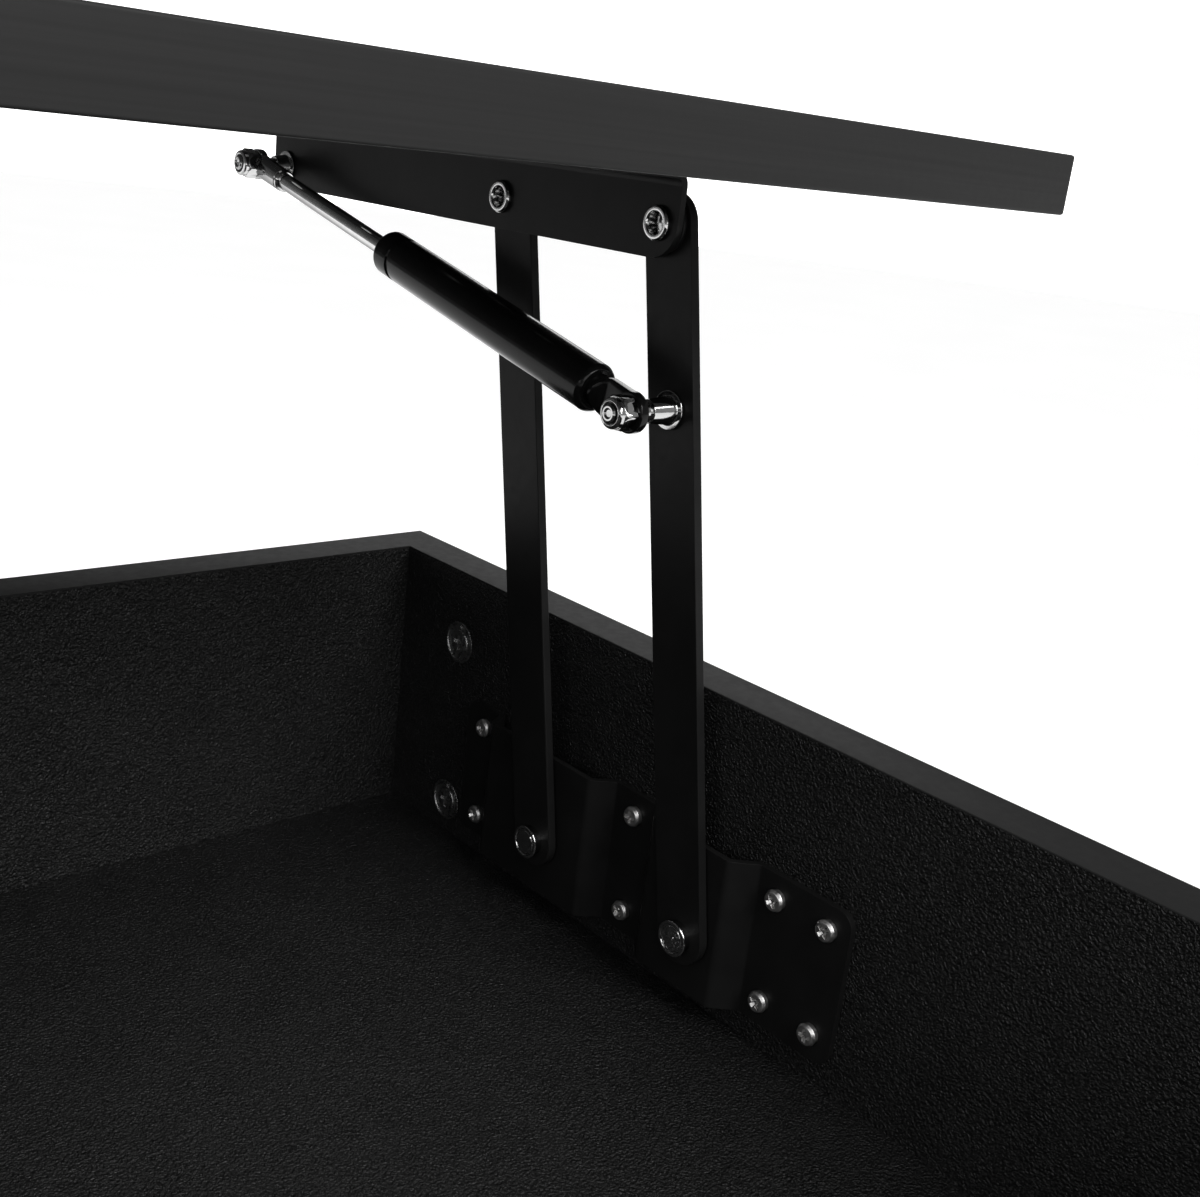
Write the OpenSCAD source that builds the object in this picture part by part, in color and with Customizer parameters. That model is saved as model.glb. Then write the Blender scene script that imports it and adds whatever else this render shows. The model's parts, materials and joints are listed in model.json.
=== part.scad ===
// Lift top coffee table: a low case with a shallow compartment, and a top that rises and
// moves toward the user on a parallel-arm lift with a gas spring at each end.
// Millimetres, +Z up, origin on the floor under the middle of the case.
// -Y is the user's side. The top is drawn raised, at the open stop.

/* [Table] */
// Length of the table top
top_w = 1040; // [990:5:1200]
// Depth of the table top
top_d = 490; // [480:5:560]
// Thickness of the table top
top_t = 15; // [15:0.5:22]
// Length of the case
case_w = 970; // [900:5:985]
// Depth of the case
case_d = 420; // [410:5:470]
// Height of the case rim above the floor
rim_z = 394; // [370:1:450]
// Thickness of the case walls
wall_t = 16; // [16:0.5:19]
// Thickness of the compartment floor, the shelf and the dividers
board_t = 15; // [15:0.5:18]
// Inner depth of the compartment
comp_h = 99; // [98:1:115]
// Underside of the lower shelf above the floor
shelf_z = 60; // [50:1:100]

/* [Lift] */
// Arm length between pivots
arm_l = 203; // [198:1:206]
// Arm width
arm_w = 17.5; // [16:0.5:18.5]
// Arm thickness
arm_t = 3; // [2.5:0.1:3]
// Distance between the front and rear arms
arm_gap = 68; // [66:1:72]
// Lean of the raised arms toward the user, in degrees
lean = 11.5; // [9:0.5:13]
// Front base pivot behind the middle of the case (negative is toward the user)
pivot_y = -97; // [-99:1:-95]
// Base pivots below the rim
pivot_drop = 71; // [70:0.5:72]
// Top pivots below the underside of the top
hang = 14.2; // [13.8:0.1:14.6]

/* [Gas spring] */
// Tube diameter
tube_d = 14.3; // [13:0.1:15]
// Rod diameter
rod_d = 5.8; // [5:0.1:6.5]
// Lower stud below the rear top pivot, along the arm
stud_down = 50; // [48:1:52]
// Upper stud in front of the rear top pivot
stud_fore = 193.6; // [188:0.2:196]

/* [Hidden] */

$fn = 64;
eps = 1;                // overrun of a cutting tool past a face
fit = 0.05;             // running clearance, on the radius or on a face
rest_gap = 0.5;         // gap between the closed top and the rim

// finishes
black = "#161616";      // melamine faces
edge_grey = "#2b2b2c";  // smooth edge strips
steel_black = "#1a1a1a"; // powder coat
chrome = "#c9c9cc";
zinc = "#b8b8b4";
plastic = "#101010";
beech = "#c9a273";

// case
in_x = case_w / 2 - wall_t;       // inner face of the end panels
in_y = case_d / 2 - wall_t;       // inner face of the aprons
floor_z = rim_z - comp_h;         // upper face of the compartment floor
apron_h = comp_h + board_t + 1;   // the aprons hide the floor's edge
strip_t = 0.5;                    // edge strip on the rim
band_t = 1;                       // edge strip round the top
shelf_top = shelf_z + board_t;
glide_h = 8;
divider_x = 160;

// case fittings
cam_d = 15;
cam_h = 12.5;
cam_in = 33.5;          // cam centre behind the joint face
cam_rows = [rim_z - 26, rim_z - 87.4];
shelf_cam_y = 120;
shelf_cam_in = 34;
cam_bolt_d = 7;
thread_d = 5;
thread_l = 11;
dowel_d = 8;
dowel_l = 30;
dowel_y = 60;
dowel_z = rim_z - 57;    // dowels of the corner joints
glide_y = 170;
leg_screw_r = 20;
leg_hub_d = 28;
leg_foot_d = 36;
leg_plate_t = 4;

// lift, as distances from the inner face of the end wall
strip_steel = 2;        // bracket steel
seat_x = 9;             // raised seat of the base bracket
arm_x = 10;             // outer face of the arms
plate_x = 14.5;         // outer face of the top bracket's web
flange_x = 42;          // inner edge of the top bracket's flange
stud_x = 26.5;          // outer face of the gas spring's eyes
eye_t = 3;
rod_eye_d = 10.4;       // eye on the upper stud
lug_d = 11.5;           // eye on the lower stud
nut_flats = 8.9;
nut_h = 4.4;            // hexagon of a lock nut, under its collar
flange_screw_inset = 16;    // from each end of the top bracket to its flange screws
pin_x = stud_x + eye_t + 7.1;     // end of the studs
stud_gap = 0.3;         // gap between the lower stud's flange and the arm
spring_x = stud_x + eye_t / 2;

// lift, in the side view
rear_y = pivot_y + arm_gap;
base_z = rim_z - pivot_drop;
reach_y = -arm_l * sin(lean);     // raised top pivots from the base pivots
reach_z = arm_l * cos(lean);
joint_z = base_z + reach_z;       // height of the raised top pivots
under_z = joint_z + hang;         // underside of the raised top
front_joint_y = pivot_y + reach_y;
rear_joint_y = rear_y + reach_y;
closed_rise = asin((rim_z + rest_gap - hang - base_z) / arm_l);
top_y = reach_y - arm_l * cos(closed_rise);   // middle of the raised top

// base bracket
base_h = 48.2;
base_low = rim_z - 90.6;
base_rear = 215.9 - in_y;
base_front = 45 - in_y;
base_corner = 5;
base_bend = 2.2;                              // bend radius at the middle of the steel
screw_y = [for (d = [55, 130.9, 189.7, 208.3]) d - in_y];
screw_z = [rim_z - 49.9, rim_z - 83];
screw_d = 3.5;
screw_head_d = 6.7;
screw_head_h = 2.3;
flat_head_h = 1.7;       // countersunk part of a flange screw's head
flat_crown = 0.3;        // its raised crown
rivet_d = 6;
pivot_hole_d = rivet_d + 2 * fit;

// top bracket
web_front = rear_joint_y - 202.4;
web_rear = rear_joint_y + 7.4;
web_low = under_z - 23.5;
web_corner = 9.5;
flange_screws = 5;
flange_screw_x = 32;
top_rivet_d = 8;
top_hole_d = top_rivet_d + 2 * fit;
stud_d = 5;

// gas spring, measured from the lower stud along the spring
low_y = rear_joint_y + stud_down * sin(lean);
low_z = joint_z - stud_down * cos(lean);
high_y = rear_joint_y - stud_fore;
high_z = joint_z - 2.2;
spring_l = norm([high_y - low_y, high_z - low_z]);
spring_a = atan2(high_z - low_z, low_y - high_y);
tube_from = 14.5;
tube_to = 122.5;
bore_d = tube_d - 2.4;
groove_at = tube_to - 10;
piston_at = tube_to - 24;
ferrule_at = spring_l - 19.5;

// ---- helpers ----

// draws its children once for each end or side, mirrored
module both_ends() { children(); mirror([1, 0, 0]) children(); }
module both_sides() { children(); mirror([0, 1, 0]) children(); }
module all_corners() both_ends() both_sides() children();

// a mechanism is drawn for the left end; side = 1 puts it at the right end
module on_side(side) { if (side < 0) children(); else mirror([1, 0, 0]) children(); }

// box between two corners
module block(low, high) translate(low) cube(high - low);

// round bar along X, between two distances from the left end wall, at a point of the side view
module bar_x(d, from, to, y, z)
    translate([-in_x + from, y, z]) rotate([0, 90, 0]) cylinder(d = d, h = to - from);

// round bar along Y and along Z
module bar_y(d, from, to, x, z)
    translate([x, from, z]) rotate([-90, 0, 0]) cylinder(d = d, h = to - from);
module bar_z(d, from, to, x, y) translate([x, y, from]) cylinder(d = d, h = to - from);

// flat ring along X
module ring_x(outer, inner, from, to, y, z)
    difference() {
        bar_x(outer, from, to, y, z);
        bar_x(inner, from - eps, to + eps, y, z);
    }

// turned piece along X: profile points are [radius, distance from the end wall]
module turned_x(profile, y, z)
    translate([-in_x, y, z]) rotate([0, 90, 0]) rotate_extrude() polygon(profile);

// Phillips recess in a face that looks along +Z
module cross_recess(width, depth)
    for (turn = [0, 90]) rotate([0, 0, turn])
        translate([-width / 2, -width / 8, -depth]) cube([width, width / 4, depth + eps]);

// pan-head screw along Z, head upward from z = 0
module pan_screw(shank_l) difference() {
    union() {
        translate([0, 0, -shank_l]) cylinder(d = screw_d, h = shank_l + 0.1);
        cylinder(d = screw_head_d, h = screw_head_h - 0.8);
        translate([0, 0, screw_head_h - 0.8])
            cylinder(d1 = screw_head_d, d2 = screw_head_d - 2.4, h = 0.8);
    }
    translate([0, 0, screw_head_h]) cross_recess(3.6, 1.6);
}

// countersunk screw along Z: its head fills the last flat_head_h below z = 0
module flat_screw(shank_l) difference() {
    union() {
        translate([0, 0, -shank_l]) cylinder(d = screw_d, h = shank_l - flat_head_h + 0.1);
        translate([0, 0, -flat_head_h]) cylinder(d1 = screw_d, d2 = screw_head_d, h = flat_head_h);
        cylinder(d1 = screw_head_d, d2 = screw_head_d - 2, h = flat_crown);
    }
    translate([0, 0, flat_crown]) cross_recess(3.6, 1.2);
}

// strip of bent steel: corner points of its middle line become round bends
function unit(v) = v / norm(v);
function bend(p, i, r, n) =
    let (back = unit(p[i - 1] - p[i]), on = unit(p[i + 1] - p[i]),
         half = acos(back * on) / 2, mid = p[i] + unit(back + on) * r / sin(half),
         start = p[i] + back * r / tan(half) - mid, turn = 180 - 2 * half,
         way = cross(back, on) > 0 ? -1 : 1, from = atan2(start[1], start[0]))
    [for (k = [0 : n]) mid + r * [cos(from + way * turn * k / n), sin(from + way * turn * k / n)]];
function rounded(p, r, n) =
    concat([p[0]], [for (i = [1 : len(p) - 2]) each bend(p, i, r, n)], [p[len(p) - 1]]);
function beside(q, d) = [for (i = [0 : len(q) - 1])
    let (v = unit(q[min(i + 1, len(q) - 1)] - q[max(i - 1, 0)])) q[i] + d * [-v[1], v[0]]];
function reversed(q) = [for (i = [len(q) - 1 : -1 : 0]) q[i]];
module steel_strip(corners, r) {
    q = rounded(corners, r, 6);
    polygon(concat(beside(q, strip_steel / 2), reversed(beside(q, -strip_steel / 2))));
}

// ---- case ----

module table_top() color(black) difference() {
    block([-top_w / 2 + band_t, top_y - top_d / 2 + band_t, under_z],
          [top_w / 2 - band_t, top_y + top_d / 2 - band_t, under_z + top_t]);
    both_ends() flange_screw_places() cylinder(d = screw_d + 2 * fit, h = 22, center = true);
}

module top_edging() color(edge_grey) translate([0, top_y, under_z]) {
    both_sides() block([-top_w / 2, top_d / 2 - band_t, 0], [top_w / 2, top_d / 2, top_t]);
    both_ends() block([top_w / 2 - band_t, band_t - top_d / 2, 0],
                      [top_w / 2, top_d / 2 - band_t, top_t]);
}

module apron() difference() {
    block([-case_w / 2, in_y, rim_z - apron_h], [case_w / 2, case_d / 2, rim_z - strip_t]);
    both_ends() for (z = cam_rows)
        bar_y(thread_d + 2 * fit, in_y - eps, in_y + thread_l + fit, in_x + wall_t / 2, z);
    both_ends() bar_y(dowel_d + 2 * fit, in_y - eps, in_y + thread_l + fit,
                      in_x + wall_t / 2, dowel_z);
}
module front_apron() color(black) mirror([0, 1, 0]) apron();
module rear_apron() color(black) apron();

module end_panel() difference() {
    block([in_x, -in_y, glide_h], [in_x + wall_t, in_y, rim_z - strip_t]);
    both_sides() {
        for (z = cam_rows) {
            translate([in_x - eps, in_y - cam_in, z]) rotate([0, 90, 0])
                cylinder(d = cam_d + 2 * fit, h = cam_h + eps);
            bar_y(cam_bolt_d + 1, in_y - cam_in, in_y + eps, in_x + wall_t / 2, z);
        }
        bar_y(dowel_d + 2 * fit, in_y - dowel_l + thread_l - fit, in_y + eps,
              in_x + wall_t / 2, dowel_z);
        for (z = [floor_z - board_t / 2, shelf_z + board_t / 2]) {
            end_bore(thread_d + 2 * fit, shelf_cam_y, z);
            end_bore(dowel_d + 2 * fit, dowel_y, z);
        }
        bar_z(3.1, 0, glide_h + 12, in_x + wall_t / 2, glide_y);
    }
    for (y = screw_y, z = screw_z)
        translate([in_x, y, z]) rotate([0, 90, 0])
            cylinder(d = screw_d + 2 * fit, h = 27, center = true);
}
// blind bore into an end panel's inner face
module end_bore(d, y, z)
    translate([in_x - eps, y, z]) rotate([0, 90, 0]) cylinder(d = d, h = thread_l + fit + eps);
module left_end_panel() color(black) mirror([1, 0, 0]) end_panel();
module right_end_panel() color(black) end_panel();

module case_edging() color(edge_grey) {
    both_sides() block([-case_w / 2, in_y, rim_z - strip_t], [case_w / 2, case_d / 2, rim_z]);
    both_ends() block([in_x, -in_y, rim_z - strip_t], [in_x + wall_t, in_y, rim_z]);
}

// board between the end panels, with its cam, bolt and dowel bores
module shelf_board(z) difference() {
    block([-in_x, -in_y, z], [in_x, in_y, z + board_t]);
    all_corners() {
        bar_z(cam_d + 2 * fit, z - eps, z + cam_h, in_x - shelf_cam_in, shelf_cam_y);
        board_end_bore(cam_bolt_d + 1, shelf_cam_in, shelf_cam_y, z + board_t / 2);
        board_end_bore(dowel_d + 2 * fit, dowel_l - thread_l + fit, dowel_y, z + board_t / 2);
    }
}
// blind bore into a board's end
module board_end_bore(d, depth, y, z)
    translate([in_x - depth, y, z]) rotate([0, 90, 0]) cylinder(d = d, h = depth + eps);

module compartment_floor() color(black) difference() {
    shelf_board(floor_z - board_t);
    all_corners() bar_z(dowel_d + 2 * fit, floor_z - board_t - eps, floor_z - board_t + thread_l,
                        divider_x, dowel_y);
}

module lower_shelf() color(black) difference() {
    shelf_board(shelf_z);
    all_corners() bar_z(thread_d + 2 * fit, shelf_z - eps, shelf_top + eps, divider_x, shelf_cam_y);
    leg_screw_places() cylinder(d = screw_d + 2 * fit, h = 27, center = true);
}

module divider() difference() {
    block([divider_x - board_t / 2, -in_y, shelf_top],
          [divider_x + board_t / 2, in_y, floor_z - board_t]);
    both_sides() {
        bar_z(thread_d + 2 * fit, shelf_top - eps, shelf_top + 35 + fit, divider_x, shelf_cam_y);
        bar_z(dowel_d + 2 * fit, floor_z - board_t - dowel_l + thread_l - fit, floor_z,
              divider_x, dowel_y);
    }
}
module left_divider() color(black) mirror([1, 0, 0]) divider();
module right_divider() color(black) divider();

// ---- case fittings ----

// cam lock with its face up at z = 0 and its bolt entering from +Y, in the middle of a board
module cam_lock(board) difference() {
    translate([0, 0, -cam_h]) cylinder(d = cam_d, h = cam_h);
    translate([0, 0, -board / 2]) rotate([-90, 0, 0]) cylinder(d = cam_bolt_d + 1, h = cam_d);
    cross_recess(8, 2);
}
module cam_locks() color(zinc) all_corners() {
    for (z = cam_rows)
        translate([in_x, in_y - cam_in, z]) rotate([0, -90, 0]) cam_lock(wall_t);
    for (z = [floor_z - board_t, shelf_z])
        translate([in_x - shelf_cam_in, shelf_cam_y, z]) rotate([180, 0, 90]) cam_lock(board_t);
}

// connecting bolt along Z: thread below z = 0, head in the cam above
module cam_bolt(reach) {
    translate([0, 0, -thread_l]) cylinder(d = thread_d, h = thread_l);
    cylinder(d = cam_bolt_d, h = reach - 6);
    translate([0, 0, reach - 6]) cylinder(d = 4, h = 4);
    translate([0, 0, reach - 2]) cylinder(d = cam_bolt_d, h = 3);
}
module cam_bolts() color(zinc) all_corners() {
    for (z = cam_rows)
        translate([in_x + wall_t / 2, in_y, z]) rotate([90, 0, 0]) cam_bolt(cam_in - 2);
    for (z = [floor_z - board_t / 2, shelf_z + board_t / 2])
        translate([in_x, shelf_cam_y, z]) rotate([0, -90, 0]) cam_bolt(shelf_cam_in - 2);
}

module dowels() color(beech) all_corners() {
    bar_y(dowel_d, in_y + thread_l - dowel_l, in_y + thread_l, in_x + wall_t / 2, dowel_z);
    for (z = [floor_z - board_t / 2, shelf_z + board_t / 2])
        translate([in_x + thread_l - dowel_l, dowel_y, z]) rotate([0, 90, 0])
            cylinder(d = dowel_d, h = dowel_l);
    bar_z(dowel_d, floor_z - board_t + thread_l - dowel_l, floor_z - board_t + thread_l,
          divider_x, dowel_y);
}

module divider_screws() color(zinc) all_corners() translate([divider_x, shelf_cam_y, 0])
    difference() {
        union() {
            translate([0, 0, shelf_z - 2.5]) cylinder(d = 9.5, h = 2.5);
            translate([0, 0, shelf_z - 0.1]) cylinder(d = thread_d, h = board_t + 35.1);
        }
        translate([0, 0, shelf_z - 2.5]) rotate([180, 0, 0]) cross_recess(4, 1.5);
    }

module foot_glides() color(plastic) all_corners() {
    bar_z(15, 1, glide_h, in_x + wall_t / 2, glide_y);
    translate([in_x + wall_t / 2, glide_y, 0]) cylinder(d1 = 12, d2 = 15, h = 1);
    bar_z(3, glide_h - 0.1, glide_h + 11.9, in_x + wall_t / 2, glide_y);
}

// three screw places of the centre leg, looking down
module leg_screw_places() for (k = [0 : 2]) rotate([0, 0, 90 + 120 * k])
    translate([leg_screw_r, 0, shelf_z]) rotate([180, 0, 0]) children();

module centre_leg() color(plastic) difference() {
    union() {
        translate([0, 0, shelf_z - leg_plate_t]) cylinder(d = 54, h = leg_plate_t);
        translate([0, 0, 10]) cylinder(d = leg_hub_d, h = shelf_z - 12);
        translate([0, 0, 1]) cylinder(d = leg_foot_d, h = 10);
        cylinder(d1 = leg_foot_d - 4, d2 = leg_foot_d, h = 1);
    }
    leg_screw_places() cylinder(d = screw_d + 2 * fit, h = 10, center = true);
}
module leg_screws() color(zinc) leg_screw_places() translate([0, 0, leg_plate_t]) pan_screw(16);

// ---- lift, drawn for the left end ----

// flat face of the base bracket's two seats, front to rear; each corner is [y, distance]
base_line = [
    for (p = [[45, 0], [62.6, 0], [66.4, 1], [115.9, 1], [121.1, 0], [140.6, 0], [145.4, 1],
              [175.8, 1], [181.9, 0], [215.9, 0]])
    [p[0] - in_y, (strip_steel / 2) + p[1] * (seat_x - strip_steel)]];

module base_bracket() color(steel_black) difference() {
    intersection() {
        translate([-in_x, 0, base_low]) linear_extrude(base_h)
            mirror([1, -1, 0]) steel_strip(base_line, base_bend);
        translate([-in_x, (base_front + base_rear) / 2, base_low + base_h / 2])
            rotate([90, 0, 90]) linear_extrude(20)
                round_rect(base_rear - base_front, base_h, base_corner);
    }
    for (y = [pivot_y, rear_y]) bar_x(pivot_hole_d, 0, 20, y, base_z);
    for (y = screw_y, z = screw_z) bar_x(screw_d + 2 * fit, -eps, 20, y, z);
}
// rectangle with round corners, about its middle
module round_rect(w, h, r) {
    square([w, h - 2 * r], center = true);
    square([w - 2 * r, h], center = true);
    for (x = [r - w / 2, w / 2 - r], y = [r - h / 2, h / 2 - r]) translate([x, y]) circle(r);
}

module base_screws() color(zinc) for (y = screw_y, z = screw_z)
    translate([strip_steel - in_x, y, z]) rotate([0, 90, 0]) pan_screw(15);

// shoulder rivet: tail behind the seat, shank through seat, washer and arm, head toward the user
module base_rivets() color(chrome) for (y = [pivot_y, rear_y])
    turned_x([[0, 4.6], [4.4, 4.6], [4.8, 5.2], [4.8, 7], [rivet_d / 2, 7],
              [rivet_d / 2, arm_x + arm_t + fit], [4.8, arm_x + arm_t + fit], [4.8, 15.3],
              [5.5, 15.3], [5.5, 15.9], [5.2, 16.2], [0, 16.2]], y, base_z);

module base_washers() color(steel_black) for (y = [pivot_y, rear_y])
    ring_x(15, pivot_hole_d, seat_x, arm_x - fit, y, base_z);

// flat arm with round ends, from its base pivot
module arm(y) color(steel_black) translate([-in_x + arm_x, y, base_z]) rotate([lean, 0, 0])
    rotate([90, 0, 90]) linear_extrude(arm_t) difference() {
        union() {
            translate([-arm_w / 2, 0]) square([arm_w, arm_l]);
            circle(d = arm_w);
            translate([0, arm_l]) circle(d = arm_w);
        }
        circle(d = pivot_hole_d);
        translate([0, arm_l]) circle(d = top_hole_d);
    }

// steel angle: web beside the arms, flange under the top, one large corner at the rear
module top_bracket() color(steel_black) difference() {
    intersection() {
        translate([-in_x, web_rear, 0]) rotate([90, 0, 0]) linear_extrude(web_rear - web_front)
            steel_strip([[plate_x + strip_steel / 2, web_low],
                         [plate_x + strip_steel / 2, under_z - strip_steel / 2],
                         [flange_x, under_z - strip_steel / 2]], 3);
        union() {
            block([-in_x, web_front, web_low], [-in_x + 50, web_rear - web_corner, under_z]);
            block([-in_x, web_front, web_low + web_corner], [-in_x + 50, web_rear, under_z]);
            bar_x(2 * web_corner, 0, 50, web_rear - web_corner, web_low + web_corner);
        }
    }
    for (y = [front_joint_y, rear_joint_y]) bar_x(top_hole_d, 0, 30, y, joint_z);
    bar_x(stud_d + 2 * fit, 0, 30, high_y, high_z);
    flange_screw_places() {
        cylinder(d = screw_d + 2 * fit, h = 20, center = true);
        translate([0, 0, strip_steel - flat_head_h])
            cylinder(d1 = screw_d + 2 * fit, d2 = screw_head_d + 2 * fit, h = flat_head_h + 0.01);
    }
}

// screw places in the flange, looking down from the underside of the top
module flange_screw_places() for (k = [0 : flange_screws - 1])
    translate([flange_screw_x - in_x, web_front + flange_screw_inset
            + k * (web_rear - web_front - 2 * flange_screw_inset)
               / (flange_screws - 1), under_z])
        rotate([180, 0, 0]) children();
module top_screws() color(zinc) flange_screw_places()
    translate([0, 0, strip_steel]) flat_screw(12);

// hollow rivet, flared on the user's face of the web
module top_rivets() color(chrome) for (y = [front_joint_y, rear_joint_y])
    turned_x([[2.9, 8.6], [5.2, 8.6], [5.6, 9], [5.6, arm_x - fit], [top_rivet_d / 2, arm_x - fit],
              [top_rivet_d / 2, plate_x + strip_steel], [4.8, plate_x + strip_steel], [4.7, 17.6],
              [4.1, 18.1], [3.4, 18.1], [2.9, 17.6]], y, joint_z);

module top_washers() color(steel_black) for (y = [front_joint_y, rear_joint_y])
    ring_x(15.5, top_hole_d, arm_x + arm_t + fit, plate_x, y, joint_z);

// flanged stud from a steel face to the spring's eye and through its nut
module spring_stud(face, flange_t, y, z)
    turned_x([[0, face], [5.5, face], [5.5, face + flange_t], [4, face + flange_t],
              [3.25, stud_x], [stud_d / 2, stud_x], [stud_d / 2, pin_x - 0.5],
              [stud_d / 2 - 0.5, pin_x], [0, pin_x]], y, z);

module upper_stud() color(chrome) {
    spring_stud(plate_x + strip_steel, 1, high_y, high_z);
    bar_x(stud_d, plate_x, plate_x + strip_steel + 0.1, high_y, high_z);
    bar_x(8, plate_x - 1.2, plate_x, high_y, high_z);
}
module lower_stud() color(chrome) spring_stud(arm_x + arm_t + stud_gap, 0.9, low_y, low_z);

// lock nut: hexagon, then a round collar
module lock_nut(y, z) translate([-in_x + stud_x + eye_t + fit, y, z]) rotate([0, 90, 0])
    difference() {
        union() {
            cylinder(d = nut_flats / cos(30), h = nut_h, $fn = 6);
            translate([0, 0, nut_h - 0.1]) cylinder(d = 8.6, h = 1.1);
            translate([0, 0, nut_h + 1]) cylinder(d1 = 8.6, d2 = 7.6, h = 0.9);
        }
        translate([0, 0, -eps]) cylinder(d = stud_d + 2 * fit, h = 9);
    }
module upper_nut() color(chrome) lock_nut(high_y, high_z);
module lower_nut() color(chrome) lock_nut(low_y, low_z);

// places children at the lower stud with +Z along the gas spring and X across its eyes
module along_spring() translate([-in_x + spring_x, low_y, low_z])
    rotate([90 - spring_a, 0, 0]) children();

module spring_rod() color(chrome) along_spring()
    translate([0, 0, piston_at + fit]) cylinder(d = rod_d, h = ferrule_at + 4 - piston_at - fit);

// ferrule on the rod, flattened into an eye on the upper stud
module rod_eye() color(chrome) along_spring() difference() {
    union() {
        translate([0, 0, ferrule_at]) cylinder(d1 = 6.6, d2 = 7.8, h = 0.8);
        translate([0, 0, ferrule_at + 0.8]) cylinder(d = 7.8, h = 9.6);
        translate([0, 0, ferrule_at + 10.4]) cylinder(d1 = 7.8, d2 = 4, h = 3);
        translate([-eye_t / 2 + fit, -3.9, ferrule_at + 8]) cube([eye_t - 2 * fit, 7.8, 11.5]);
        translate([-eye_t / 2 + fit, 0, spring_l]) rotate([0, 90, 0])
            cylinder(d = rod_eye_d, h = eye_t - 2 * fit);
    }
    translate([-10, 0, spring_l]) rotate([0, 90, 0]) cylinder(d = stud_d + 2 * fit, h = 20);
    translate([0, 0, ferrule_at - eps]) cylinder(d = rod_d + 0.02, h = 5.02);
}

module piston() color(zinc) along_spring() difference() {
    translate([0, 0, piston_at - 6]) cylinder(d = bore_d - 2 * fit, h = 6);
    translate([0, 0, piston_at - 3.5]) rotate_extrude()
        translate([bore_d / 2 - 0.6, 0]) square([2, 1.6]);
}

// tube with rolled ends and a rolled groove over the rod guide
module spring_tube() color(steel_black) along_spring() rotate_extrude()
    polygon([[4.6, tube_from + 1.2], [4.6, tube_from], [tube_d / 2 - 1.3, tube_from],
             [tube_d / 2 - 0.4, tube_from + 0.5], [tube_d / 2, tube_from + 1.6],
             [tube_d / 2, groove_at - 0.8], [tube_d / 2 - 0.5, groove_at],
             [tube_d / 2, groove_at + 0.8], [tube_d / 2, tube_to - 1.8],
             [tube_d / 2 - 0.6, tube_to - 0.6], [tube_d / 2 - 1.8, tube_to],
             [rod_d / 2 + 0.5, tube_to], [rod_d / 2 + 0.5, tube_to - 1.2],
             [bore_d / 2, tube_to - 1.2], [bore_d / 2, tube_from + 1.2]]);

module rod_guide() color(plastic) along_spring() difference() {
    translate([0, 0, tube_to - 17]) cylinder(d = bore_d - 2 * fit, h = 15.8);
    translate([0, 0, tube_to - 18]) cylinder(d = rod_d + 2 * fit, h = 20);
}

// end plug: neck out of the tube, flattened into a lug on the lower stud
module end_lug() color(steel_black) along_spring() difference() {
    union() {
        translate([-eye_t / 2, -lug_d / 2 + 0.3, 0]) cube([eye_t, lug_d - 0.6, 12]);
        translate([-eye_t / 2, 0, 0]) rotate([0, 90, 0]) cylinder(d = lug_d, h = eye_t);
        translate([0, 0, 10.4]) cylinder(d1 = 6, d2 = 9.1, h = 2);
        translate([0, 0, 12.4]) cylinder(d = 9.1, h = tube_from - 11.2);
        translate([0, 0, tube_from + 1.2]) cylinder(d = bore_d - 2 * fit, h = 5);
    }
    translate([-10, 0, 0]) rotate([0, 90, 0]) cylinder(d = stud_d + 2 * fit, h = 20);
}

table_top();
top_edging();
front_apron();
rear_apron();
left_end_panel();
right_end_panel();
case_edging();
compartment_floor();
lower_shelf();
left_divider();
right_divider();
cam_locks();
cam_bolts();
dowels();
divider_screws();
foot_glides();
centre_leg();
leg_screws();
on_side(-1) base_bracket();  // left_base_bracket
on_side(-1) base_screws();  // left_base_screws
on_side(-1) base_rivets();  // left_base_rivets
on_side(-1) base_washers();  // left_base_washers
on_side(-1) arm(pivot_y);  // left_front_arm
on_side(-1) arm(rear_y);  // left_rear_arm
on_side(-1) top_bracket();  // left_top_bracket
on_side(-1) top_screws();  // left_top_screws
on_side(-1) top_rivets();  // left_top_rivets
on_side(-1) top_washers();  // left_top_washers
on_side(-1) upper_stud();  // left_upper_stud
on_side(-1) upper_nut();  // left_upper_nut
on_side(-1) spring_rod();  // left_spring_rod
on_side(-1) rod_eye();  // left_rod_eye
on_side(-1) piston();  // left_piston
on_side(-1) spring_tube();  // left_spring_tube
on_side(-1) rod_guide();  // left_rod_guide
on_side(-1) end_lug();  // left_end_lug
on_side(-1) lower_stud();  // left_lower_stud
on_side(-1) lower_nut();  // left_lower_nut
on_side(1) base_bracket();  // right_base_bracket
on_side(1) base_screws();  // right_base_screws
on_side(1) base_rivets();  // right_base_rivets
on_side(1) base_washers();  // right_base_washers
on_side(1) arm(pivot_y);  // right_front_arm
on_side(1) arm(rear_y);  // right_rear_arm
on_side(1) top_bracket();  // right_top_bracket
on_side(1) top_screws();  // right_top_screws
on_side(1) top_rivets();  // right_top_rivets
on_side(1) top_washers();  // right_top_washers
on_side(1) upper_stud();  // right_upper_stud
on_side(1) upper_nut();  // right_upper_nut
on_side(1) spring_rod();  // right_spring_rod
on_side(1) rod_eye();  // right_rod_eye
on_side(1) piston();  // right_piston
on_side(1) spring_tube();  // right_spring_tube
on_side(1) rod_guide();  // right_rod_guide
on_side(1) end_lug();  // right_end_lug
on_side(1) lower_stud();  // right_lower_stud
on_side(1) lower_nut();  // right_lower_nut
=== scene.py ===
import json
import math
import random

import bmesh
import bpy
from mathutils import Matrix, Vector, noise

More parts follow.
